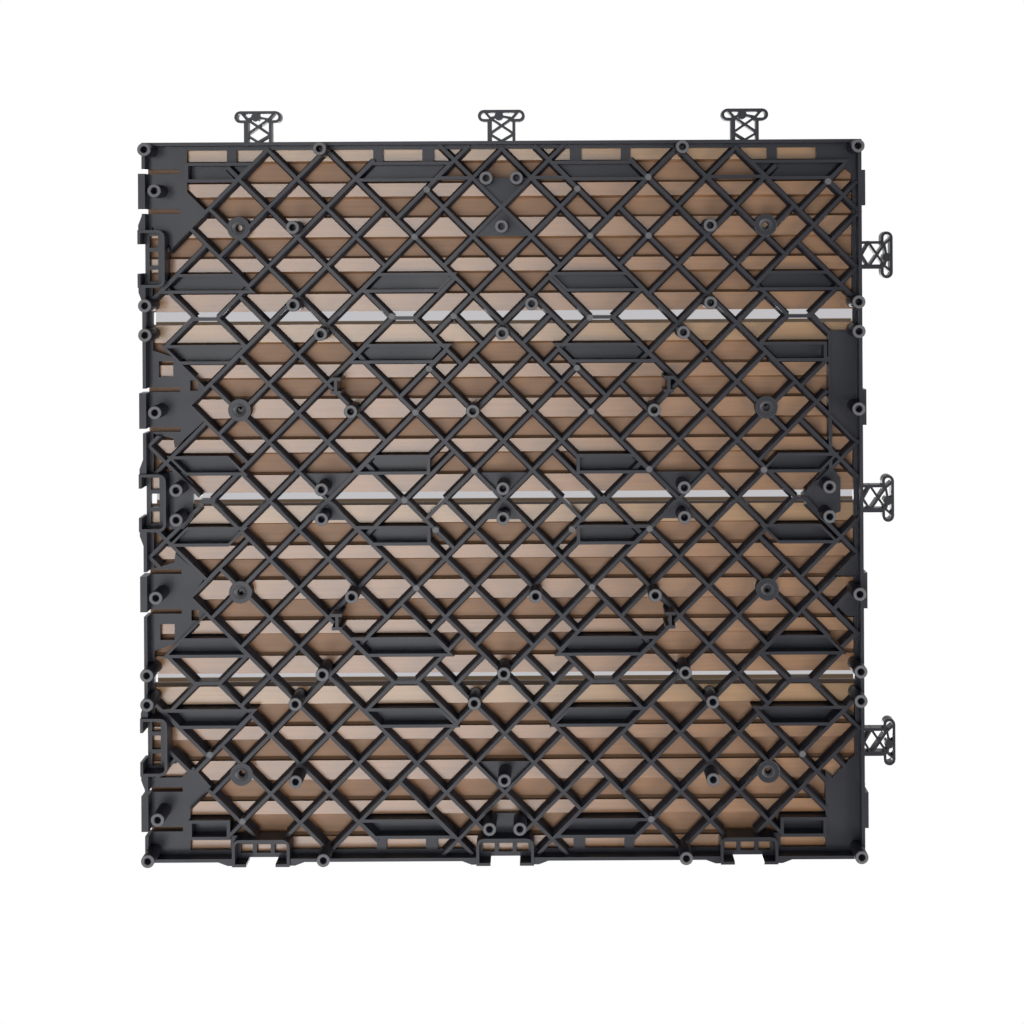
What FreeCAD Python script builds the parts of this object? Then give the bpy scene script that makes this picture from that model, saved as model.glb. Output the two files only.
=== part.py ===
"""Interlocking deck tile: four grooved composite boards on one moulded lattice base.

Millimetres, +Z up. The tile stands on its pegs at z = 0 with the boards on top, and the origin is the middle
of the tile on the ground. The linking arms stand out on the -Y and +X sides, and their sockets open on the
+Y and -X sides. The boards run along X.
"""
import FreeCAD, Part
import math
import os
import Sketcher

Vector = FreeCAD.Vector
doc = FreeCAD.newDocument("deck_tile")

# Driving dimensions
SIZES = {
    "tile_size": 300.0,
    "joint_gap": 4.8,
    "board_gap": 5.5,
    "board_thick": 9.2,
    "board_edge_radius": 3.0,
    "side_land": 7.35,
    "side_groove": 9.5,
    "inner_land": 5.5,
    "mid_groove": 9.0,
    "groove_depth": 2.6,
    "groove_corner": 1.0,
    "seat_height": 12.8,
    "rib_height": 4.4,
    "rib_web": 1.4,
    "node_inset": 3.0,
    "rim_height": 6.8,
    "rim_wall": 1.4,
    "ledge_width": 3.0,
    "plate_thick": 2.0,
    "peg_outer": 5.4,
    "peg_bore": 3.0,
    "peg_bore_depth": 7.0,
    "boss_outer": 9.4,
    "boss_height": 4.6,
    "screw_hole": 3.0,
    "countersink": 5.8,
    "countersink_depth": 1.4,
    "rail_side_clearance": 0.65,
    "rail_top_clearance": 0.4,
    "rail_wall": 1.3,
    "link_reach": 13.0,
    "link_head_length": 19.6,
    "link_head_depth": 5.0,
    "link_stem": 11.6,
    "link_wall": 1.2,
    "link_thick": 3.8,
    "link_brace": 1.0,
    "link_stout_wall": 1.8,
    "link_waist": 9.0,
    "link_depth_to_waist": 1.5,
    "link_head_window": 14.0,
    "link_pip": 3.7,
    "link_pip_offset": 1.0,
    "link_top_clearance": 0.2,
    "socket_wall": 1.2,
    "socket_side_clearance": 1.0,
    "socket_end_clearance": 0.4,
    "throat_clearance": 0.3,
    "socket_height": 8.0,
    "lip_reach": 1.5,
    "tab_half_length": 7.4,
    "tab_slot": 1.9,
    "tab_depth": 14.5,
    "side_lug": 1.5,
    "foot_width": 4.2,
    "foot_depth": 6.8,
    "foot_wall": 1.3,
    "foot_lift": 1.0,
}
BOARDS_ACROSS = 4
LINKS_PER_SIDE = 3
STEPS_TO_EDGE = 12
BOSS_STEPS = 9
POST_SIDES = 8
BOSS_SIDES = 12

sheet = doc.addObject("Spreadsheet::Sheet", "tile_sizes")
for row, (name, value) in enumerate(SIZES.items(), start=1):
    sheet.set("A%d" % row, name)
    sheet.set("B%d" % row, str(value))
    sheet.setAlias("B%d" % row, name)
doc.recompute()


def size(name):
    """A driving dimension, read back from the sheet."""
    return float(sheet.get(name))


# Places and levels that several pieces share
half_tile = size("tile_size") / 2
seat = size("seat_height")
rib_level = seat - size("rib_height")
rim_level = seat - size("rim_height")
plate_level = seat - size("plate_thick")
boss_level = seat - size("boss_height")
socket_level = seat - size("socket_height")
board_pitch = (size("tile_size") + size("joint_gap")) / BOARDS_ACROSS
board_width = board_pitch - size("board_gap")
board_centres = [(i - (BOARDS_ACROSS - 1) / 2) * board_pitch for i in range(BOARDS_ACROSS)]
link_pitch = (size("tile_size") + size("joint_gap")) / LINKS_PER_SIDE
link_centres = [(i - (LINKS_PER_SIDE - 1) / 2) * link_pitch for i in range(LINKS_PER_SIDE)]
step = (half_tile - size("node_inset")) / STEPS_TO_EDGE
boss_places = [(side * BOSS_STEPS * step, y) for y in board_centres for side in (-1, 1)]
QUARTERS = [(sx, sy) for sx in (-1, 1) for sy in (-1, 1)]


# Prisms over plane outlines, in millimetres or in lattice steps from the middle of the tile
def prism(points, bottom, top):
    corners = [Vector(x, y, bottom) for x, y in points]
    face = Part.Face(Part.makePolygon(corners + corners[:1]))
    return face.extrude(Vector(0, 0, top - bottom))


def block(x0, x1, y0, y1, bottom, top):
    return prism([(x0, y0), (x1, y0), (x1, y1), (x0, y1)], bottom, top)


def steps_prism(points, bottom, top):
    return prism([(x * step, y * step) for x, y in points], bottom, top)


def bar(start, end, width, bottom, top):
    """A straight bar in plan, with square ends half a width past its two points."""
    a, b = Vector(*start, 0), Vector(*end, 0)
    along = (b - a).normalize() * (width / 2)
    across = Vector(-along.y, along.x, 0)
    a, b = a - along, b + along
    return prism([(p.x, p.y) for p in (a + across, b + across, b - across, a - across)], bottom, top)


def post(x, y, diameter, bottom, top, sides=POST_SIDES):
    """A small round post or hole, drawn with a few flat sides of equal length."""
    radius = diameter / 2
    turns = [2 * math.pi * i / sides for i in range(sides)]
    return prism([(x + radius * math.cos(t), y + radius * math.sin(t)) for t in turns], bottom, top)


def fused(shapes):
    return shapes[0].multiFuse(shapes[1:]).removeSplitter() if len(shapes) > 1 else shapes[0]


def feature(name, shape):
    """One worked-out shape as an object of the document."""
    item = doc.addObject("Part::Feature", name)
    item.Label = name
    item.Shape = shape
    return item


# Ribs: diagonals of the lattice in one quarter, in steps. u + v or u - v is the key, u runs from one value
# to the other, and every quarter is a mirror image.
FALLING = {
    2: [(0, 2)], 3.35: [(1.67, 3.35)], 4: [(0, 2.57)], 6: [(0, 6)], 7.05: [(2, 3.55)],
    8: [(0, 2.4), (4, 8)], 9.2: [(1.75, 2.98)], 10: [(0, 2), (3.78, 10)], 12: [(0, 9.6)],
    13.22: [(1.15, 3.6)], 12.84: [(10.2, 12.15)], 14: [(4, 12)], 16: [(4.4, 9.74)],
    16.8: [(10.5, 11.5)], 18: [(6, 9.65)], 18.86: [(10.25, 12)], 20: [(8, 12.05)], 22: [(11.1, 12.1)],
}
RISING = {
    0: [(0, 10)], -2: [(0, 2.53), (5, 9.4)], -3.22: [(1.43, 2.98)], -2.45: [(3.78, 4.7)],
    -4: [(0, 1), (4, 8)], -4.65: [(0.82, 1.63)], -6: [(0, 6)], -8: [(0, 2.57)], -10: [(0, 2.15)],
    2: [(4, 9)], 4: [(5, 9)], 3.5: [(3.5, 4.6), (8.8, 9.75)], 6: [(6, 9.8)], 6.35: [(10.15, 11.1)],
    7.43: [(8.8, 11.05)], 8: [(8, 8.9)], 10.2: [(10.4, 12.2)], 1.33: [(8.75, 12.1)], 0.33: [(10.25, 12)],
    2.45: [(11.3, 12.15)], 4.25: [(10.5, 12.1)],
}
SNAP = 0.3


def to_crossing(key, u, others):
    """Moves a rib's end onto the nearest rib of the other direction, if one passes close by."""
    crossings = [(key + other) / 2 for other, runs in others.items()
                 if any(u0 - SNAP < (key + other) / 2 < u1 + SNAP for u0, u1 in runs)]
    nearest = min(crossings, key=lambda crossing: abs(crossing - u))
    return nearest if abs(nearest - u) < SNAP else u


rib_lines = []
for table, others, lean in ((FALLING, RISING, -1), (RISING, FALLING, 1)):
    for key, runs in table.items():
        for ends in runs:
            line = []
            for u in ends:
                u = u if u == 0 else to_crossing(key, u, others)
                line.append((u, lean * (u - key)))
            for sx, sy in QUARTERS:
                rib_lines.append([(sx * u, sy * v) for u, v in line])
for sx in (-1, 1):
    rib_lines.append(((sx * 2, 0), (sx * 2.7, 0.7)))
    rib_lines.append(((sx * 1.06, -11), (sx * 2.2, -11)))
    rib_lines.append(((sx * 9.92, 0), (sx * 10.29, 0)))
    for sy in (-1, 1):
        rib_lines.append(((sx * 2.98, sy * 6.22), (sx * 3.78, sy * 6.22)))
        rib_lines.append(((sx * 9.74, sy * 6.22), (sx * 10.52, sy * 6.22)))
rib_lines.append(((3.27, 0), (3.55, 0)))
rib_lines.append(((11.18, -5.63), (11.18, -0.98)))
rib_lines.append(((6.94, -11), (9, -11)))

rib_bars = []
for line in rib_lines:
    start, end = [(x * step, y * step) for x, y in line]
    rib_bars.append(bar(start, end, size("rib_web"), rib_level, seat))
rib_shape = fused(rib_bars)

# Plates of the base, in steps. Ribs stop at the broad ones along the two ends.
LEFT_PLATES = [
    [(-12.2, -12.2), (-10.8, -12.2), (-10.8, -10.57), (-10.08, -9.85), (-11.35, -8.57), (-11.51, -8.98),
     (-12.2, -9.55)],
    [(-12.2, -5.22), (-11.27, -4.9), (-10.2, -3.84), (-10.69, -3.27), (-10.29, -2.69), (-11.27, -1.8),
     (-11.31, -2.12), (-12.2, -2.37)],
    [(-12.2, 5.22), (-11.27, 4.9), (-10.2, 3.84), (-10.69, 3.27), (-10.29, 2.69), (-11.27, 1.8),
     (-11.31, 2.12), (-12.2, 2.37)],
    [(-12.2, 9.5), (-11.1, 9.5), (-10.69, 9.14), (-10.08, 9.84), (-10.8, 10.53), (-10.8, 12.2),
     (-12.2, 12.2)],
]
RIGHT_PLATES = [
    [(11.18, -5.71), (12.15, -5.71), (12.15, -2.04), (12, -2.04), (11.18, -2.86)],
    [(10.78, -12.05), (12.15, -12.05), (12.15, -10.94), (11.43, -11.59), (10.78, -11.59)],
    [(12.15, 8.73), (11.8, 9.02), (11.22, 9.63), (10.98, 9.39), (10.98, 12.2), (12.15, 12.2)],
    [(12.15, 1.8), (11.27, 2.69), (12.15, 2.69)],
    [(12.15, 3.1), (11.84, 3.27), (11.43, 3.76), (11.76, 4.08), (12.15, 4.08)],
]
INNER_PLATES = [
    [(-1, -11), (1, -11), (0, -10)],
    [(0, -10), (1, -9), (-1, -9)],
    [(-1, 9), (1, 9), (0, 10)],
    [(-0.73, 10.78), (0.73, 10.78), (0.73, 11.5), (-0.73, 11.5)],
    [(10.98, -0.98), (11.3, -0.98), (11.55, -0.65), (11.55, 0.49), (10.98, 0.73), (10.65, 0.3),
     (10.65, -0.6)],
    [(-11.47, -0.98), (-11, -0.98), (-10.65, -0.6), (-10.65, 0.6), (-11, 0.98), (-11.47, 0.98)],
]
for middle in (-6, 0, 6):
    INNER_PLATES.append([(middle - 0.9, -0.9), (middle + 0.9, -0.9), (middle, 0)])
    INNER_PLATES.append([(middle, 0), (middle + 0.7, 0.7), (middle - 0.7, 0.7)])
MULLIONS = [(2.33, 2.73), (4.08, 4.41), (9.1, 9.43)]
for sx, sy in QUARTERS:
    for x0, x1 in MULLIONS:
        INNER_PLATES.append([(sx * x0, sy * 11.5), (sx * x1, sy * 11.5), (sx * x1, sy * 12.1),
                             (sx * x0, sy * 12.1)])
PLATE_WINDOWS = [(-11.8, -11.31, 4.24, 4.78), (-10.73, -10.47, 3.76, 4.12)]

plate_shape = fused([steps_prism(p, plate_level, seat) for p in LEFT_PLATES + RIGHT_PLATES + INNER_PLATES])
rib_stops = [steps_prism(p, rib_level, plate_level) for p in LEFT_PLATES + RIGHT_PLATES]
ribs = feature("ribs", rib_shape.cut(rib_stops))
plates = feature("plates", plate_shape)

# Rim: a skirt all round with a ledge inside it under the boards' ends
RIM_RINGS = [("rim_skirt", "rim_wall", "rim_height"), ("rim_ledge", "ledge_width", "plate_thick")]
rim_parts = []
for name, inset, low in RIM_RINGS:
    outer = doc.addObject("Part::Box", name + "_outer")
    inner = doc.addObject("Part::Box", name + "_inner")
    for box, margin in ((outer, ""), (inner, " - 2 * tile_sizes." + inset)):
        for side in ("Length", "Width"):
            box.setExpression(side, "tile_sizes.tile_size" + margin)
        for axis in ("x", "y"):
            box.setExpression("Placement.Base." + axis, "-(tile_sizes.tile_size" + margin + ") / 2")
        box.setExpression("Height", "tile_sizes." + low)
        box.setExpression("Placement.Base.z", "tile_sizes.seat_height - tile_sizes." + low)
    ring = doc.addObject("Part::Cut", name)
    ring.Base = outer
    ring.Tool = inner
    rim_parts.append(ring)
doc.recompute()

# Rails: channels whose roofs stand up into the outer grooves of each board. Each end follows a rib, given as
# falling or rising with its key in steps, or stands square at a distance in steps.
groove_offset = board_width / 2 - size("side_land") - size("side_groove") / 2
rail_rows = [board_pitch / 2 - groove_offset, board_pitch / 2 + groove_offset,
             1.5 * board_pitch - groove_offset, 1.5 * board_pitch + groove_offset]
rail_half = size("side_groove") / 2 - size("rail_side_clearance")
rail_top = seat + size("groove_depth") - size("rail_top_clearance")
RAILS = [
    [("square", 2.5), ("falling", 6)],
    [("falling", 7.05), ("falling", 10)],
    [("falling", 9.3), ("falling", 12)],
    [("falling", 13.22), ("falling", 16)],
    [("rising", 7.85), ("rising", 9.95)],
    [("falling", 14), ("rising", 6.35)],
    [("rising", 1.33), ("falling", 18.86)],
    [("falling", 20), ("square", 10.82)],
]
RAIL_CHANGES = {
    (5, 1, -1): [("falling", 14), ("square", 11.08)],
    (7, 1, -1): [("falling", 20), ("rising", 0.33)],
    (7, -1, 1): [("square", 9.4), ("square", 10.82)],
    (7, 1, 1): [("square", 9.4), ("square", 10.98)],
}


def rail_end(end, y):
    kind, key = end
    return key * step + {"falling": -y, "rising": y, "square": 0}[kind]


def rail_outline(sx, sy, row, ends, half_width, inset):
    points = []
    for end, side, order in ((ends[0], 1, (-1, 1)), (ends[1], -1, (1, -1))):
        for edge in order:
            y = row + edge * half_width
            points.append((sx * (rail_end(end, y) + side * inset), sy * y))
    return points


rail_solids, rail_hollows = [], []
for index, standard in enumerate(RAILS):
    row = rail_rows[index % len(rail_rows)]
    for sx, sy in QUARTERS:
        ends = RAIL_CHANGES.get((index, sx, sy), standard)
        outer = rail_outline(sx, sy, row, ends, rail_half, 0)
        inner = rail_outline(sx, sy, row, ends, rail_half - size("rail_wall"), size("rib_web"))
        rail_solids.append(prism(outer, rib_level, rail_top))
        rail_hollows.append(prism(inner, rib_level, rail_top - size("rail_wall")))
rails = feature("rails", Part.makeCompound(rail_solids))
rail_channels = feature("rail_channels", Part.makeCompound(rail_hollows))

# Pegs the tile stands on, in steps, with a blind bore in each tip
PEGS = [(11.7 * sx, 3.12 * sy) if sx < 0 else (12, 3.12 * sy) for sx, sy in QUARTERS]
PEGS += [(-11.68, -10.59), (-11.68, 10.59), (1, -6.72), (-1, 6.72), (-1, -3.11), (1.08, 3.13)]
for sx, sy in QUARTERS:
    for x, y in ((12.02, 11.98), (6.11, 11.98), (0.51, 10.96), (7.03, 9.33), (12.02, 6.72), (7.03, 6.72),
                 (12.02, 5.73), (6.11, 5.73), (5.11, 3.12), (11, 0.5), (6.11, 0.5)):
        PEGS.append((sx * x, sy * y))
for sy in (-1, 1):
    for y in (9.33, 5.73, 0.5):
        PEGS.append((0, sy * y))
peg_solids = []
for x, y in PEGS:
    blank = post(x * step, y * step, size("peg_outer"), 0, seat)
    peg_solids.append(blank.cut(post(x * step, y * step, size("peg_bore"), 0, size("peg_bore_depth"))))
pegs = feature("pegs", Part.makeCompound(peg_solids))

# Small feet of H section between the pegs, in steps
FOOT_STEPS = (5.62, 3.98)
foot_x, foot_y = [steps * step for steps in FOOT_STEPS]
foot_solids = []
for sx, sy in QUARTERS:
    x, y = sx * foot_x, sy * foot_y
    half_x, half_y, wall = size("foot_width") / 2, size("foot_depth") / 2, size("foot_wall")
    flanks = [block(x - half_x, x + half_x, y - half_y, y - half_y + wall, size("foot_lift"), seat),
              block(x - half_x, x + half_x, y + half_y - wall, y + half_y, size("foot_lift"), seat),
              block(x - wall / 2, x + wall / 2, y - half_y, y + half_y, size("foot_lift"), seat)]
    foot_solids.append(fused(flanks))
feet = feature("feet", Part.makeCompound(foot_solids))

# Screw bosses, each with a countersunk hole under the middle of a board
def ring_wire(x, y, diameter, level, sides):
    turns = [2 * math.pi * i / sides for i in range(sides + 1)]
    return Part.makePolygon([Vector(x + diameter / 2 * math.cos(t), y + diameter / 2 * math.sin(t), level)
                             for t in turns])


def screw_hole(x, y):
    """The clear hole and the cone below it that takes a screw's head."""
    wide = ring_wire(x, y, size("countersink"), boss_level, BOSS_SIDES)
    narrow = ring_wire(x, y, size("screw_hole"), boss_level + size("countersink_depth"), BOSS_SIDES)
    cone = Part.makeLoft([wide, narrow], True, True)
    return fused([cone, post(x, y, size("screw_hole"), boss_level, seat, BOSS_SIDES)])


boss_solids = [post(x, y, size("boss_outer"), boss_level, seat, BOSS_SIDES) for x, y in boss_places]
bosses = feature("bosses", Part.makeCompound(boss_solids))
boss_holes = feature("boss_holes", Part.makeCompound([screw_hole(x, y) for x, y in boss_places]))


# Linking arms: a hollow round-ended head on a braced stem. Places are along the side and out from it.
def on_side(side, centre, along, out):
    """A point beside the tile. Arms stand on "front" and "right", sockets open on "back" and "left"."""
    reach = half_tile + out
    return {"front": (centre + along, -reach), "right": (reach, centre + along),
            "back": (centre + along, reach), "left": (-reach, centre + along)}[side]


def side_block(side, centre, along, out, bottom, top):
    """A block beside the tile between two distances along the side and two out from it."""
    a, b = on_side(side, centre, along[0], out[0]), on_side(side, centre, along[1], out[1])
    return block(min(a[0], b[0]), max(a[0], b[0]), min(a[1], b[1]), max(a[1], b[1]), bottom, top)


LOW_BRACE = 0.375
HEAD_SIDES = 16
link_top = plate_level - size("link_top_clearance")
link_bottom = link_top - size("link_thick")
head_near = size("link_reach") - size("link_head_depth")
head_mid = size("link_reach") - size("link_head_depth") / 2
wall = size("link_wall")


def head_outline(side, centre, inset):
    """The head's outline: a long bar with half-round ends, drawn in short straight lines."""
    radius = size("link_head_depth") / 2 - inset
    reach = size("link_head_length") / 2 - size("link_head_depth") / 2
    points = []
    for end in (1, -1):
        for i in range(HEAD_SIDES // 2 + 1):
            turn = 2 * math.pi * i / HEAD_SIDES
            points.append(on_side(side, centre, end * (reach + radius * math.sin(turn)),
                                  head_mid + end * radius * math.cos(turn)))
    return prism(points, link_bottom, link_top)


def arm(side, centre):
    """One arm. The stouter half of its stem, with the pip beside it, is the left one on the front side and
    the back one on the right side."""
    lead = {"front": -1, "right": 1}[side]

    def strut(a, b, width):
        ends = [on_side(side, centre, lead * along, out) for along, out in (a, b)]
        return bar(*ends, width, link_bottom, link_top)

    inside = size("link_stem") / 2 - size("link_stout_wall")
    mouth = side_block(side, centre, (-inside, inside), (head_near, head_near + wall), link_bottom, link_top)
    brace = size("link_brace")
    low, near = head_near * LOW_BRACE, -size("rim_wall") / 2
    waist = (size("link_waist") / 2, head_near + size("link_depth_to_waist"))
    corner = (size("link_head_window") / 2, size("link_reach") - wall / 2)
    pip = (size("link_pip_offset"), head_mid)
    pip_place = on_side(side, centre, lead * pip[0], pip[1])
    pieces = [head_outline(side, centre, 0).cut(head_outline(side, centre, wall)).cut(mouth)]
    for a, width in ((1, size("link_stout_wall")), (-1, wall)):
        stem = a * (size("link_stem") - width) / 2
        pieces.append(strut((stem, near), (stem, head_near), width))
        pieces.append(strut((stem, low), (-a * waist[0], waist[1]), brace))
        pieces.append(strut((stem, low), (0, 0), brace))
        pieces.append(strut((a * waist[0], waist[1]), (a * corner[0], corner[1]), brace))
        pieces.append(strut((a * waist[0], waist[1]), pip, brace))
    pieces.append(post(*pip_place, size("link_pip"), link_bottom, link_top, BOSS_SIDES))
    return fused(pieces)


arms = [arm(side, centre) for side in ("front", "right") for centre in link_centres]
linking_arms = feature("linking_arms", Part.makeCompound(arms))

# Sockets: a walled pocket behind two lips, open below, that takes the head of a neighbour's arm
pocket_half = size("link_head_length") / 2 + size("socket_side_clearance")
pocket_back = -(size("link_reach") - size("joint_gap") + size("socket_end_clearance"))
lip_inner = size("lip_reach") - size("socket_wall")
throat_half = size("link_stem") / 2 + size("throat_clearance")
SLOPE_FOOT, SLOPE_HEAD = 18.0, 14.0
POCKET_CORNER, CORNER_LINES = 1.8, 3
POCKET_WINDOWS = [(-9.6, -4.6), (-2.9, 2.9), (4.6, 9.6)]
WINDOW_DEPTHS = (3.2, 6.8)


def pocket_block(side, centre, half_along, back, front, radius, bottom, top):
    """A block beside the tile whose two deepest corners are rounded in short straight lines."""
    points = [(-half_along, front), (half_along, front)]
    turns = [math.pi / 2 * i / CORNER_LINES for i in range(CORNER_LINES + 1)]
    for end, order in ((1, turns), (-1, turns[::-1])):
        for turn in order:
            points.append((end * (half_along - radius + radius * math.cos(turn)),
                           back + radius - radius * math.sin(turn)))
    return prism([on_side(side, centre, a, out) for a, out in points], bottom, top)


socket_walls, socket_cuts = [], []
for side in ("back", "left"):
    for centre in link_centres:
        wall_half = pocket_half + size("socket_wall")
        wall_back = pocket_back - size("socket_wall")
        body = pocket_block(side, centre, wall_half, wall_back, size("lip_reach"),
                            POCKET_CORNER + size("socket_wall"), socket_level, seat)
        bulge = prism([on_side(side, centre, a, out) for a, out in (
            (-SLOPE_FOOT, 0), (-SLOPE_HEAD, size("lip_reach")), (SLOPE_HEAD, size("lip_reach")),
            (SLOPE_FOOT, 0), (SLOPE_FOOT, -size("rim_wall")), (-SLOPE_FOOT, -size("rim_wall")))],
            rim_level, seat)
        socket_walls.append(fused([body, bulge]))
        pocket = pocket_block(side, centre, pocket_half, pocket_back, lip_inner, POCKET_CORNER,
                              socket_level, plate_level)
        throat = side_block(side, centre, (-throat_half, throat_half), (0, size("lip_reach")),
                            socket_level, seat)
        cuts = [pocket, throat]
        window = [pocket_back + depth for depth in WINDOW_DEPTHS]
        for ends in POCKET_WINDOWS:
            cuts.append(side_block(side, centre, ends, window, socket_level, seat))
        socket_cuts.append(fused(cuts))
sockets = feature("sockets", Part.makeCompound(socket_walls))
socket_openings = feature("socket_openings", Part.makeCompound(socket_cuts))

# Snap tabs between slots on the left edge, and the lugs that they face on the right edge
TAB_CENTRES = [-10.59, -3.12, 3.12, 10.59]
tab_solids, slot_cuts = [], []
for centre in TAB_CENTRES:
    y = centre * step
    reach = size("tab_half_length")
    for face in (-half_tile, half_tile):
        out, within = math.copysign(size("side_lug"), face), math.copysign(size("rim_wall"), face)
        tab_solids.append(block(min(face + out, face - within), max(face + out, face - within),
                                y - reach, y + reach, rim_level, seat))
    for a in (-1, 1):
        near, far = y + a * reach, y + a * (reach + size("tab_slot"))
        slot_cuts.append(block(-half_tile - size("side_lug"), -half_tile + size("tab_depth"),
                               min(near, far), max(near, far), rim_level, seat))
tabs = feature("tabs", Part.makeCompound(tab_solids))
windows = [block(x0 * step, x1 * step, sy * y0 * step, sy * y1 * step, rib_level, seat)
           for x0, x1, y0, y1 in PLATE_WINDOWS for sy in (-1, 1)]
tab_slots = feature("tab_slots", Part.makeCompound(slot_cuts + windows))

# The base is one moulding
base_walls = doc.addObject("Part::MultiFuse", "base_walls")
base_walls.Shapes = rim_parts + [ribs, plates, rails, pegs, feet, bosses, linking_arms, sockets,
                                 tabs]
base_openings = doc.addObject("Part::MultiFuse", "base_openings")
base_openings.Shapes = [rail_channels, boss_holes, socket_openings, tab_slots]
base_grid = doc.addObject("Part::Cut", "base_grid")
base_grid.Label = "base_grid"
base_grid.Base = base_walls
base_grid.Tool = base_openings
base_grid.Refine = True
doc.recompute()

# Deck boards: extruded profiles with four grooves below and rounded upper edges, each a sketched body
PITCH = "(tile_sizes.tile_size + tile_sizes.joint_gap) / %d" % BOARDS_ACROSS
BOARD = "(" + PITCH + " - tile_sizes.board_gap)"


def rectangle(sketch, name, left, bottom, wide, high):
    """A constrained rectangle; left, bottom, wide and high are expressions in the sheet's sizes."""
    first = sketch.GeometryCount
    corners = [Vector(1, 1, 0), Vector(2, 1, 0), Vector(2, 2, 0), Vector(1, 2, 0)]
    for i in range(4):
        sketch.addGeometry(Part.LineSegment(corners[i], corners[(i + 1) % 4]), False)
    for i in range(4):
        sketch.addConstraint(Sketcher.Constraint("Coincident", first + i, 2, first + (i + 1) % 4, 1))
        sketch.addConstraint(Sketcher.Constraint(("Horizontal", "Vertical")[i % 2], first + i))
    dimensions = [("bottom", "DistanceY", (-1, 1, first, 1), bottom),
                  ("wide", "DistanceX", (first, 1, first, 2), wide),
                  ("high", "DistanceY", (first + 1, 1, first + 1, 2), high)]
    if left == "0":
        sketch.addConstraint(Sketcher.Constraint("PointOnObject", first, 1, -2))
    else:
        dimensions.append(("left", "DistanceX", (-1, 1, first, 1), left))
    for label, kind, places, expression in dimensions:
        index = sketch.addConstraint(Sketcher.Constraint(kind, *places, 1.0))
        sketch.renameConstraint(index, name + "_" + label)
        sketch.setExpression("Constraints." + name + "_" + label, expression)


def end_sketch(body, name):
    """A sketch on the body's end plane, with the board's width along it and its height up it."""
    sketch = body.newObject("Sketcher::SketchObject", name)
    plane = [item for item in body.Origin.OriginFeatures if item.Role == "YZ_Plane"][0]
    sketch.AttachmentSupport = [(plane, "")]
    sketch.MapMode = "FlatFace"
    return sketch


def long_edges(shape, level):
    """The names of the edges that run along the board at one level."""
    found = []
    for number, edge in enumerate(shape.Edges, start=1):
        box = edge.BoundBox
        if box.XLength > 1 and max(abs(box.ZMin - level), abs(box.ZMax - level)) < 0.001:
            found.append("Edge%d" % number)
    return found


def board(number):
    tag = "_%d" % number
    body = doc.addObject("PartDesign::Body", "board_body" + tag)
    steps_from_middle = number - (BOARDS_ACROSS + 1) / 2
    body.setExpression("Placement.Base.y", "%g * %s - %s / 2" % (steps_from_middle, PITCH, BOARD))
    outline = end_sketch(body, "outline" + tag)
    rectangle(outline, "board", "0", "tile_sizes.seat_height", BOARD, "tile_sizes.board_thick")
    blank = body.newObject("PartDesign::Pad", "blank" + tag)
    blank.Profile = outline
    blank.SideType = "Symmetric"
    blank.setExpression("Length", "tile_sizes.tile_size")
    grooves = end_sketch(body, "groove_outlines" + tag)
    past_first = "tile_sizes.side_land + tile_sizes.side_groove + tile_sizes.inner_land"
    for name, near, wide in (("side", "tile_sizes.side_land", "tile_sizes.side_groove"),
                             ("mid", past_first, "tile_sizes.mid_groove")):
        far = "%s - (%s) - %s" % (BOARD, near, wide)
        for end, left in (("near", near), ("far", far)):
            label = name + "_" + end
            rectangle(grooves, label, left, "tile_sizes.seat_height", wide, "tile_sizes.groove_depth")
    grooved = body.newObject("PartDesign::Pocket", "grooves" + tag)
    grooved.Profile = grooves
    grooved.SideType = "Symmetric"
    grooved.setExpression("Length", "tile_sizes.tile_size")
    doc.recompute()
    corners = body.newObject("PartDesign::Chamfer", "groove_corners" + tag)
    corners.Base = (grooved, long_edges(grooved.Shape, seat + size("groove_depth")))
    corners.setExpression("Size", "tile_sizes.groove_corner")
    doc.recompute()
    rounded = body.newObject("PartDesign::Fillet", "upper_edges" + tag)
    rounded.Base = (corners, long_edges(corners.Shape, seat + size("board_thick")))
    rounded.setExpression("Radius", "tile_sizes.board_edge_radius")
    body.Label = "deck_board" + tag
    return body


deck_boards = [board(i + 1) for i in range(BOARDS_ACROSS)]
doc.recompute()

# Output
os.makedirs("parts", exist_ok=True)
for item in doc.Objects:
    if "Invalid" in item.State or "Error" in item.State:
        raise RuntimeError(item.Label + " did not build")
for item in [base_grid] + deck_boards:
    if item.Shape.isNull() or not item.Shape.isValid():
        raise RuntimeError(item.Label + " has no valid shape")
    item.Shape.exportStep("parts/" + item.Label + ".step")
    print(item.Label, len(item.Shape.Solids), "solids", round(item.Shape.Volume / 1000, 1), "cm3")
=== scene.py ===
"""Interlocking deck tile, seen from below: composite boards on a moulded lattice base."""
import math
import bmesh
import bpy
from mathutils import Matrix, Vector


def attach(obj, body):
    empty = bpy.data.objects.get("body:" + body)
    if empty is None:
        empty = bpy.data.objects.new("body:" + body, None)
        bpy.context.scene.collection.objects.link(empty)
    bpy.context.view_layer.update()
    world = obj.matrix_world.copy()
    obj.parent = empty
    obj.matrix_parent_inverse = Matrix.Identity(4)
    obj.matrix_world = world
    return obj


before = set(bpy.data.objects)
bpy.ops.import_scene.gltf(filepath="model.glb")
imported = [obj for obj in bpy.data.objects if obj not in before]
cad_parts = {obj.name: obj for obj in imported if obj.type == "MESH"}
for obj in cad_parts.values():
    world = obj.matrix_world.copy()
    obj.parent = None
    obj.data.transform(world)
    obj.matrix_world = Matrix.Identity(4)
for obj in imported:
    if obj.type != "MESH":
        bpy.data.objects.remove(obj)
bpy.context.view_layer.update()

# Deck boards
# Four extruded boards of wood-plastic composite. Their lands are brushed pale, their grooves keep the darker
# skin of the die, and fine streaks of fibre run along them.
mm = 0.001
BOARD_PITCH = 76.2 * mm
SEAT = 12.8 * mm
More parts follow.
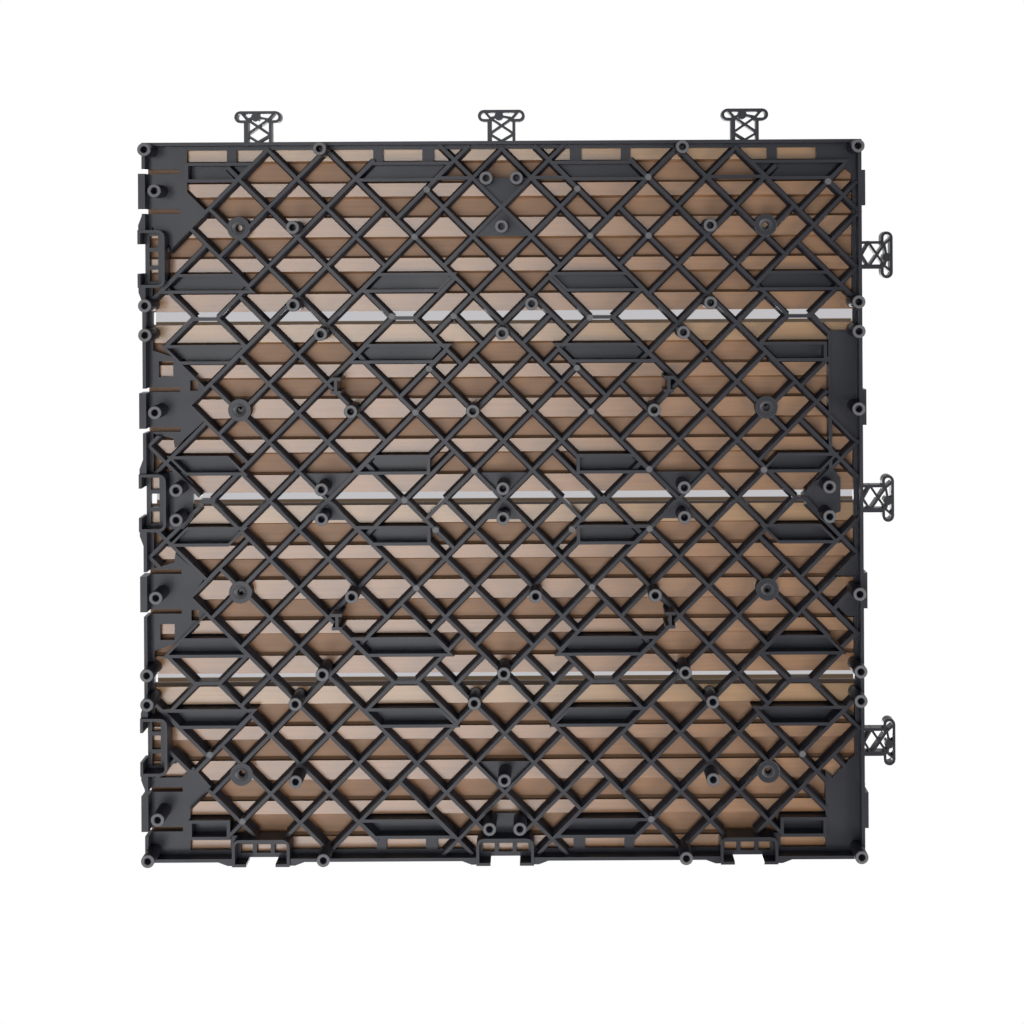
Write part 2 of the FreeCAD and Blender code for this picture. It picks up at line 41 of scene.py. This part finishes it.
EDGE_LAND_END = (9.8 * mm, 10.6 * mm)
ROUNDED_EDGE = (18 * mm, 20 * mm)
OUTER_EDGE = (-148 * mm, -146 * mm)
LAND_COLOUR = (0.21, 0.103, 0.042, 1)
LAND_STREAK = (0.24, 0.121, 0.052, 1)
EDGE_COLOUR = (0.265, 0.151, 0.067, 1)
EDGE_STREAK = (0.295, 0.173, 0.08, 1)
GROOVE_COLOUR = (0.195, 0.094, 0.038, 1)
GROOVE_STREAK = (0.225, 0.112, 0.049, 1)
# Painted shade: a dark colour for the board walls that face -Y
SHADED_SIDE_COLOUR = (0.07, 0.038, 0.018, 1)
LAND_ROUGHNESS, GROOVE_ROUGHNESS, SIDE_ROUGHNESS = 0.27, 0.58, 0.9


class Wire:
    """A socket of a material. Sums, differences and products of wires add their own Math nodes."""

    def __init__(self, tree, socket=None):
        self.tree, self.socket = tree, socket

    def node(self, kind, settings, values, outlet=0):
        made = self.tree.nodes.new(kind)
        for name, setting in settings.items():
            setattr(made, name, setting)
        for name, value in values.items():
            if isinstance(value, Wire):
                self.tree.links.new(value.socket, made.inputs[name])
            else:
                made.inputs[name].default_value = value
        return Wire(self.tree, made.outputs[outlet] if made.outputs else None)

    def maths(self, operation, *values):
        return self.node("ShaderNodeMath", {"operation": operation}, dict(enumerate(values)))

    def __add__(self, other):
        return self.maths("ADD", self, other)

    def __sub__(self, other):
        return self.maths("SUBTRACT", self, other)

    def __mul__(self, other):
        return self.maths("MULTIPLY", self, other)

    def __rsub__(self, other):
        return self.maths("SUBTRACT", other, self)

    __radd__ = __add__
    __rmul__ = __mul__


def new_material(name, **constants):
    """A material, its Principled shader with the constant sockets set, and a wire to add its nodes with."""
    material = bpy.data.materials.new(name)
    material.use_nodes = True
    shader = material.node_tree.nodes["Principled BSDF"]
    for socket, value in constants.items():
        shader.inputs[socket.replace("_", " ")].default_value = value
    return material, shader, Wire(material.node_tree)


def feed(shader, **wires):
    """Links each wire to the shader's socket of that name."""
    for socket, wire in wires.items():
        wire.tree.links.new(wire.socket, shader.inputs[socket.replace("_", " ")])


def place_noise(wires, stretch, scale, detail=3.0):
    """Noise on the piece's own coordinates, drawn out along an axis by a small stretch there."""
    spot = wires.node("ShaderNodeTexCoord", {}, {}, "Object")
    drawn = wires.node("ShaderNodeMapping", {}, {"Vector": spot, "Scale": stretch})
    return wires.node("ShaderNodeTexNoise", {}, {"Vector": drawn, "Scale": scale, "Detail": detail}, "Fac")


def part_of(wires, vector, axis):
    """One of the three numbers of a vector: 0 along the boards, 1 across them, 2 upwards."""
    return wires.node("ShaderNodeSeparateXYZ", {}, {0: vector}, axis)


def between(wires, low, high, value):
    """0 below low, 1 above high."""
    ends = {"Value": value, "From Min": low, "From Max": high}
    return wires.node("ShaderNodeMapRange", {"clamp": True}, ends, "Result")


def tint(wires, factor, first, second):
    """A colour between two others."""
    return wires.node("ShaderNodeMix", {"data_type": "RGBA"}, {0: factor, 6: first, 7: second}, 2)


def past_joint(wires, across):
    """How far a place lies past the middle of the last joint between boards."""
    return wires.maths("MODULO", across + 2 * BOARD_PITCH, BOARD_PITCH)


composite, shader, wires = new_material("composite", Specular_IOR_Level=0.7)
streaks = place_noise(wires, (0.03, 1, 1), 700)
patches = place_noise(wires, (0.3, 1, 1), 60)
streak = between(wires, 0.35, 0.65, streaks)
spot = wires.node("ShaderNodeTexCoord", {}, {}, "Object")
across, height = part_of(wires, spot, 1), part_of(wires, spot, 2)
at_edge = 1 - between(wires, *EDGE_LAND_END, past_joint(wires, across))
inner_land = tint(wires, streak, LAND_COLOUR, LAND_STREAK)
edge_land = tint(wires, streak, EDGE_COLOUR, EDGE_STREAK)
land = tint(wires, at_edge, inner_land, edge_land)
groove = tint(wires, streak, GROOVE_COLOUR, GROOVE_STREAK)
in_groove = between(wires, SEAT + 0.1 * mm, SEAT + 0.6 * mm, height)
in_gap = between(wires, *OUTER_EDGE, across) * (1 - between(wires, *ROUNDED_EDGE, height))
# Painted shade: the walls that face -Y, the sides of the boards at their joints and the groove walls that
# face that way, take a dark colour
facing = part_of(wires, wires.node("ShaderNodeNewGeometry", {}, {}, "Normal"), 1)
shaded_wall = between(wires, 0.5, 0.9, 0 - facing) * in_gap
colour = tint(wires, shaded_wall, tint(wires, in_groove, land, groove), SHADED_SIDE_COLOUR)
underside = in_groove * (GROOVE_ROUGHNESS - LAND_ROUGHNESS) + LAND_ROUGHNESS
sheen = wires.maths("MAXIMUM", shaded_wall * SIDE_ROUGHNESS, underside)
fibres = {"Strength": 0.12, "Distance": 0.2 * mm, "Height": streaks + patches * 0.5}
feed(shader, Base_Color=colour, Roughness=sheen, Normal=wires.node("ShaderNodeBump", {}, fibres))
for number in range(1, 5):
    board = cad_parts["deck_board_%d" % number]
    board.data.materials.clear()
    board.data.materials.append(composite)

# Lattice base
# One moulding in dark grey polypropylene: skirt, ribs, rails, plates, pegs, screw bosses, arms and sockets.
# It leaves the mould with a satin skin, a little duller and paler in places.
DARK_SKIN = (0.0105, 0.011, 0.016, 1)
PALE_SKIN = (0.0145, 0.0155, 0.022, 1)
plastic, shader, wires = new_material("base_plastic", Specular_IOR_Level=0.25)
clouds = place_noise(wires, (1, 1, 1), 25)
skin = tint(wires, between(wires, 0.35, 0.65, clouds), DARK_SKIN, PALE_SKIN)
satin = between(wires, 0.3, 0.7, clouds) * 0.12 + 0.3
pores = {"Strength": 0.12, "Distance": 0.05 * mm, "Height": place_noise(wires, (1, 1, 1), 1500, 2.0)}
feed(shader, Base_Color=skin, Roughness=satin, Normal=wires.node("ShaderNodeBump", {}, pores))
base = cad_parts["base_grid"]
base.data.materials.clear()
base.data.materials.append(plastic)

# Rib flanges
# The flanks of each diagonal rib, which spread from its web to a broad strip that carries the boards. They
# are moulded in one with the web, so that the rib is tapered.
STEP = 12.25 * mm
FLANGE_WIDTH, WEB_WIDTH, FLANGE_THICK = 3.5 * mm, 1.7 * mm, 1.95 * mm
SNAP = 0.3

# The runs of each line of ribs in one quarter, in steps of the lattice, which the other quarters mirror
FALLING = {
    2: [(0, 2)], 3.35: [(1.67, 3.35)], 4: [(0, 2.57)], 6: [(0, 6)], 7.05: [(2, 3.55)],
    8: [(0, 2.4), (4, 8)], 9.2: [(1.75, 2.98)], 10: [(0, 2), (3.78, 10)], 12: [(0, 9.6)],
    13.22: [(1.15, 3.6)], 12.84: [(10.2, 12.15)], 14: [(4, 12)], 16: [(4.4, 9.74)],
    16.8: [(10.5, 11.5)], 18: [(6, 9.65)], 18.86: [(10.25, 12)], 20: [(8, 12.05)], 22: [(11.1, 12.1)],
}
RISING = {
    0: [(0, 10)], -2: [(0, 2.53), (5, 9.4)], -3.22: [(1.43, 2.98)], -2.45: [(3.78, 4.7)],
    -4: [(0, 1), (4, 8)], -4.65: [(0.82, 1.63)], -6: [(0, 6)], -8: [(0, 2.57)], -10: [(0, 2.15)],
    2: [(4, 9)], 4: [(5, 9)], 3.5: [(3.5, 4.6), (8.8, 9.75)], 6: [(6, 9.8)], 6.35: [(10.15, 11.1)],
    7.43: [(8.8, 11.05)], 8: [(8, 8.9)], 10.2: [(10.4, 12.2)], 1.33: [(8.75, 12.1)], 0.33: [(10.25, 12)],
    2.45: [(11.3, 12.15)], 4.25: [(10.5, 12.1)],
}

# Slots, windows and pockets of the base that no flange crosses, as low and high corners in millimetres
CLEARINGS = [(-152, -135.5, y + a, y + a + 1.9) for y in (-129.7, -38.2, 38.2, 129.7) for a in (-9.3, 7.4)]
CLEARINGS += [(-144.5, -138.5, low, high) for low, high in ((51.9, 58.6), (-58.6, -51.9))]
CLEARINGS += [(-131.5, -128.2, low, high) for low, high in ((46, 50.5), (-50.5, -46))]
for centre in (-101.6, 0, 101.6):
    CLEARINGS.append((-150, -141.4, centre - 10.8, centre + 10.8))
    CLEARINGS.append((centre - 10.8, centre + 10.8, 141.4, 150))


def to_crossing(key, u, others):
    """Moves a rib's end onto the nearest rib of the other direction, if one passes close by."""
    crossings = [(key + other) / 2 for other, runs in others.items()
                 if any(u0 - SNAP < (key + other) / 2 < u1 + SNAP for u0, u1 in runs)]
    nearest = min(crossings, key=lambda crossing: abs(crossing - u))
    return nearest if abs(nearest - u) < SNAP else u


def blocked(place, margin):
    """Whether a place lies within a margin of a slot, window or pocket."""
    return any(x0 * mm - margin < place.x < x1 * mm + margin
               and y0 * mm - margin < place.y < y1 * mm + margin for x0, x1, y0, y1 in CLEARINGS)


def clear_runs(start, end, width):
    """The stretches of a straight line that stay out of every clearing, for a rib of that width."""
    a, b = Vector(start), Vector(end)
    count = max(2, round((b - a).length / (0.5 * mm)))
    places = [a.lerp(b, i / count) for i in range(count + 1)]
    free = [not blocked(place, width * 0.35) for place in places]
    runs, begun = [], None
    for place, is_free in zip(places + [b], free + [False]):
        if is_free and begun is None:
            begun = place
        if is_free:
            last = place
        elif begun is not None:
            if (last - begun).length > width / 4:
                runs.append((begun, last))
            begun = None
    return runs


def bar(mesh, start, end, widths, levels):
    """A straight strip between two points in plan, with a width and a level for its lower and upper face."""
    run = Vector(end) - Vector(start)
    middle = (Vector(start) + Vector(end)) / 2
    place = Matrix.Translation((*middle, sum(levels) / 2))
    turn = Matrix.Rotation(math.atan2(run.y, run.x), 4, "Z")
    size = Matrix.Diagonal((run.length, widths[1], levels[1] - levels[0], 1))
    made = bmesh.ops.create_cube(mesh, size=1)["verts"]
    lower = [vert for vert in made if vert.co.z < 0]
    bmesh.ops.scale(mesh, verts=lower, vec=(1, widths[0] / widths[1], 1))
    bmesh.ops.transform(mesh, verts=made, matrix=place @ turn @ size)


def flange(mesh, start, end, lift):
    """The spreading top of a rib, whose lower face is lifted a little where two would lie in one plane."""
    bar(mesh, start, end, (WEB_WIDTH, FLANGE_WIDTH), (SEAT - FLANGE_THICK + lift, SEAT))


def moulded(mesh, name, *materials):
    """Turns a bmesh into a piece of the base that rides with the tile."""
    data = bpy.data.meshes.new(name)
    mesh.to_mesh(data)
    mesh.free()
    for material in materials:
        data.materials.append(material)
    piece = bpy.data.objects.new(name, data)
    bpy.context.scene.collection.objects.link(piece)
    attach(piece, "root")


flanges = bmesh.new()
for table, others, lean, lift in ((FALLING, RISING, -1, 0), (RISING, FALLING, 1, 0.03 * mm)):
    for key, runs in table.items():
        for ends in runs:
            line = [u if u == 0 else to_crossing(key, u, others) for u in ends]
            for sx in (-1, 1):
                for sy in (-1, 1):
                    start, end = [(sx * u * STEP, sy * lean * (u - key) * STEP) for u in line]
                    for first, last in clear_runs(start, end, FLANGE_WIDTH):
                        flange(flanges, first, last, lift)
moulded(flanges, "rib_flanges", plastic)

# Hub corner
# The pointed corner of the plate at the right end of the middle joint, between the two ribs that meet there.
# It is moulded with the base.
CORNER_MIDDLE = (129.2 * mm, -1.0 * mm, 11.85 * mm)
CORNER_REACH = (3.1 * mm, 6.2 * mm, 1.9 * mm)
CORNER_TIP = (125.6 * mm, -0.6 * mm)
CORNER_RIB_ENDS = [(131.3 * mm, -7.0 * mm), (131.3 * mm, 5.6 * mm)]
CORNER_RIB_FOOT = 8.5 * mm
corner = bmesh.new()
bmesh.ops.create_cone(corner, cap_ends=True, segments=3, radius1=1, radius2=1, depth=1)
spread = Matrix.Translation(CORNER_MIDDLE) @ Matrix.Diagonal((*CORNER_REACH, 1))
bmesh.ops.transform(corner, verts=corner.verts, matrix=spread @ Matrix.Rotation(math.pi / 2, 4, "Z"))
for end in CORNER_RIB_ENDS:
    bar(corner, CORNER_TIP, end, (WEB_WIDTH, WEB_WIDTH), (CORNER_RIB_FOOT, SEAT))
moulded(corner, "hub_corner", plastic)

# Edge ribs
# Three short ribs beside a peg of the right edge, which run on to the skirt. They are moulded with the base,
# and spread to broad flanks as the other ribs do.
EDGE_RIBS = [((133.5, 42.5), (148.6, 57.6)), ((137.8, 46.5), (145.6, 38.7)), ((141.3, 62.4), (148.2, 55.8))]
EDGE_RIB_FOOT = 8.42 * mm
edge = bmesh.new()
for index, ends in enumerate(EDGE_RIBS):
    first, last = [Vector(point) * mm for point in ends]
    lift = index * 0.03 * mm
    bar(edge, first, last, (WEB_WIDTH, WEB_WIDTH), (EDGE_RIB_FOOT + lift, SEAT))
    flange(edge, first, last, lift)
moulded(edge, "edge_ribs", plastic)

# Pegs
# Sixty round studs that the tile stands on, moulded hollow, with a blind bore in each tip. Their tips are
# painted paler, a painted highlight where the rim catches the light. The places are in steps of the lattice,
# the profile in radius and height in millimetres.
PEGS = [(x, 3.12 * sy) for x in (-11.7, 12) for sy in (-1, 1)]
PEGS += [(-11.68, -10.59), (-11.68, 10.59), (1, -6.72), (-1, 6.72), (-1, -3.11), (1.08, 3.13)]
for sx in (-1, 1):
    for sy in (-1, 1):
        for x, y in ((12.02, 11.98), (6.11, 11.98), (0.51, 10.96), (7.03, 9.33), (12.02, 6.72), (7.03, 6.72),
                     (12.02, 5.73), (6.11, 5.73), (5.11, 3.12), (11, 0.5), (6.11, 0.5)):
            PEGS.append((sx * x, sy * y))
for sy in (-1, 1):
    for y in (9.33, 5.73, 0.5):
        PEGS.append((0, sy * y))
PEG_PROFILE = [(2.75, 12.8), (2.75, 0.2), (2.55, -0.04), (1.6, -0.04), (1.36, 0.2), (1.36, 6.9), (0.0, 6.9)]
HIGHLIT_BELOW = 0.15 * mm


def turned(mesh, profile, places, segments):
    """A turned shape, given by its radius and height from point to point, set at each place in plan."""
    points = [mesh.verts.new((radius * mm, 0, level * mm)) for radius, level in profile]
    edges = [mesh.edges.new(pair) for pair in zip(points, points[1:])]
    bmesh.ops.spin(mesh, geom=points + edges, axis=(0, 0, 1), cent=(0, 0, 0), steps=segments,
                   angle=2 * math.pi, use_merge=True)
    bmesh.ops.remove_doubles(mesh, verts=mesh.verts, dist=0.001 * mm)
    bmesh.ops.recalc_face_normals(mesh, faces=mesh.faces)
    pattern = list(mesh.faces)
    for x, y in places[1:]:
        copy = bmesh.ops.duplicate(mesh, geom=pattern)
        made = [item for item in copy["geom"] if isinstance(item, bmesh.types.BMVert)]
        bmesh.ops.translate(mesh, verts=made, vec=(x, y, 0))
    first = {vert for face in pattern for vert in face.verts}
    bmesh.ops.translate(mesh, verts=list(first), vec=(*places[0], 0))


# A paler plastic that paints a highlight on the peg tips and the countersink cones, and the shine of the
# ejector pads
highlit, shader, wires = new_material("painted_highlight_plastic", Roughness=0.5)
highlight_mottle = place_noise(wires, (1, 1, 1), 300)
feed(shader, Base_Color=tint(wires, highlight_mottle, (0.055, 0.055, 0.062, 1), (0.09, 0.09, 0.098, 1)))
pegs = bmesh.new()
turned(pegs, PEG_PROFILE, [(x * STEP, y * STEP) for x, y in PEGS], 28)
for face in pegs.faces:
    face.smooth = abs(face.normal.z) < 0.5
    # The faces at the very tip take the painted highlight
    face.material_index = 1 if face.calc_center_median().z < HIGHLIT_BELOW else 0
moulded(pegs, "peg_sleeves", plastic, highlit)

# Screw bosses
# Eight round bosses moulded under the middle of the boards, each with an empty countersunk hole that shows
# the wood. The cone of the countersink carries a painted highlight, a paler colour.
BOSSES_FROM_MIDDLE = 9 * STEP
BOSSES = [(sx * BOSSES_FROM_MIDDLE, row * BOARD_PITCH) for row in (-1.5, -0.5, 0.5, 1.5) for sx in (-1, 1)]
BOSS_WALL = [(4.74, 12.8), (4.74, 8.35), (4.55, 8.16), (2.85, 8.16)]
BOSS_HOLE = [(2.6, 8.3), (1.36, 9.6), (1.36, 12.8)]
CONE = (8.25 * mm, 9.3 * mm)
bosses = bmesh.new()
turned(bosses, BOSS_WALL + BOSS_HOLE, BOSSES, 40)
for face in bosses.faces:
    face.smooth = abs(face.normal.z) < 0.95
    # The faces of the cone take the painted highlight
    in_cone = CONE[0] < face.calc_center_median().z < CONE[1] and face.normal.z > -0.9
    face.material_index = 1 if in_cone else 0
moulded(bosses, "boss_rings", plastic, highlit)

# Ejector marks
# Small round pads at some crossings, where the pins of the mould pushed the base out. They are moulded with
# it and shine a little paler.
PADS = []
for sx in (-1, 1):
    for sy in (-1, 1):
        PADS += [(sx * 36.75, sy * 36.75)]
    PADS += [(sx * 31.5, -130), (sx * 36.75, -110.25), (sx * 31, -55), (sx * 28.5, 12.5), (61, sx * 12.5)]
PADS += [(61.25, -134.75), (61.25, -110.25), (36.5, -76), (-46.5, -77), (-20.5, -77), (-12.25, -12.25),
         (-41.5, 0), (109, -12), (136.5, -132.5), (124.5, 107), (-123.5, 106), (-110, 134), (61, 134)]
PAD_PROFILE = [(0.0, 8.2), (1.2, 8.2), (1.4, 8.35), (1.4, 11.4)]
pads = bmesh.new()
turned(pads, PAD_PROFILE, [(x * mm, y * mm) for x, y in PADS], 20)
moulded(pads, "ejector_pads", highlit)

# Floor
# A plain pale floor under the pegs. It shows from above only, and light passes through it from below.
HALF_FLOOR = 3


def staged(name, half_size, height):
    """A level square of the set, centred on the tile."""
    mesh = bmesh.new()
    bmesh.ops.create_grid(mesh, x_segments=1, y_segments=1, size=half_size)
    data = bpy.data.meshes.new(name)
    mesh.to_mesh(data)
    mesh.free()
    square = bpy.data.objects.new(name, data)
    square.location.z = height
    bpy.context.scene.collection.objects.link(square)
    return data


def one_sided(name, from_above):
    """A material that the camera alone sees, from one side, its wire, and 1 for each ray that sees it."""
    material = bpy.data.materials.new(name)
    material.use_nodes = True
    tree = material.node_tree
    tree.nodes.clear()
    wires = Wire(tree)
    straight = wires.node("ShaderNodeLightPath", {}, {}, "Is Camera Ray")
    behind = wires.node("ShaderNodeNewGeometry", {}, {}, "Backfacing")
    return material, wires, straight * (1 - behind) if from_above else straight * behind


def show(wires, seen, look):
    """Puts a shader where the rays are to see it, and nothing elsewhere."""
    clear = wires.node("ShaderNodeBsdfTransparent", {}, {})
    shown = wires.node("ShaderNodeMixShader", {}, {0: seen, 1: clear, 2: look})
    wires.node("ShaderNodeOutputMaterial", {}, {"Surface": shown})


pale_floor, wires, seen = one_sided("pale_floor", True)
show(wires, seen, wires.node("ShaderNodeBsdfDiffuse", {}, {"Color": (0.86, 0.86, 0.86, 1)}))
staged("floor", HALF_FLOOR, -0.1 * mm).materials.append(pale_floor)

# Backdrop
# A pale sheet behind the boards as they are seen from below, no wider than they are, which shows in their
# gaps. One edge of each gap keeps a narrow strip of it in shadow.
SHEET_COLOUR = (0.53, 0.52, 0.535, 1)
SHADOW_COLOUR = (0.1, 0.07, 0.045, 1)
SHADOW_EDGE = (1.7 * mm, 2.0 * mm)
pale_sheet, wires, seen = one_sided("pale_sheet", False)
spot = wires.node("ShaderNodeTexCoord", {}, {}, "Object")
half_a_board_on = part_of(wires, spot, 1) + BOARD_PITCH / 2
from_gap = past_joint(wires, half_a_board_on) - BOARD_PITCH / 2
shade = tint(wires, between(wires, *SHADOW_EDGE, from_gap), SHEET_COLOUR, SHADOW_COLOUR)
show(wires, seen, wires.node("ShaderNodeEmission", {}, {"Color": shade}))
staged("backdrop", 149 * mm, 22.3 * mm).materials.append(pale_sheet)

# Light
# Soft daylight from the left of the photograph and a weaker fill, below and above the tile, in a white room.
world = bpy.data.worlds.new("room")
bpy.context.scene.world = world
world.use_nodes = True
world.node_tree.nodes.clear()
wires = Wire(world.node_tree)
straight = wires.node("ShaderNodeLightPath", {}, {}, "Is Camera Ray")
glossy = wires.node("ShaderNodeLightPath", {}, {}, "Is Glossy Ray")
passing = wires.node("ShaderNodeLightPath", {}, {}, "Is Transmission Ray")
bright = wires.maths("MINIMUM", straight + glossy + passing, 1.0)
sky = wires.node("ShaderNodeBackground", {}, {"Color": (1, 1, 1, 1), "Strength": bright * 0.9 + 0.1})
wires.node("ShaderNodeOutputWorld", {}, {"Surface": sky})


def lamp(name, place, turn, width, length, power, colour):
    """A soft lamp in the shape of a rectangle."""
    data = bpy.data.lights.new(name, "AREA")
    data.color = colour
    data.shape = "RECTANGLE"
    data.size = width
    data.size_y = length
    data.energy = power
    light = bpy.data.objects.new(name, data)
    bpy.context.scene.collection.objects.link(light)
    light.location = place
    light.rotation_euler = turn


def aimed(place):
    """The turn of a lamp that shines from its place at the middle of the tile."""
    return (-place).to_track_quat("-Z", "Y").to_euler()


BELOW, SIDE, ABOVE = Vector((-0.28, 0.3, -1.17)), Vector((0.9, 0.35, -0.5)), Vector((-0.35, 0.75, 1.5))
lamp("window_below", BELOW, (math.pi, 0, 0), 0.68, 1.2, 13.2, (0.97, 0.98, 1.0))
lamp("room_below", SIDE, aimed(SIDE), 0.5, 0.5, 9.2, (1.0, 0.94, 0.86))
lamp("window_above", ABOVE, aimed(ABOVE), 1.1, 1.1, 21, (1.0, 1.0, 1.0))

# Camera
# It looks straight up at the underside, from a little towards the far right of the photograph.
camera_data = bpy.data.cameras.new("camera")
camera = bpy.data.objects.new("camera", camera_data)
bpy.context.scene.collection.objects.link(camera)
bpy.context.scene.camera = camera
camera.location = (20 * mm, -108 * mm, -560 * mm)
camera.rotation_euler = (math.pi, 0, 0.0055)
camera_data.lens = 47.77
camera_data.sensor_width = 36
camera_data.shift_x = -0.037
camera_data.shift_y = -0.2643

bpy.context.scene.view_settings.view_transform = "Standard"
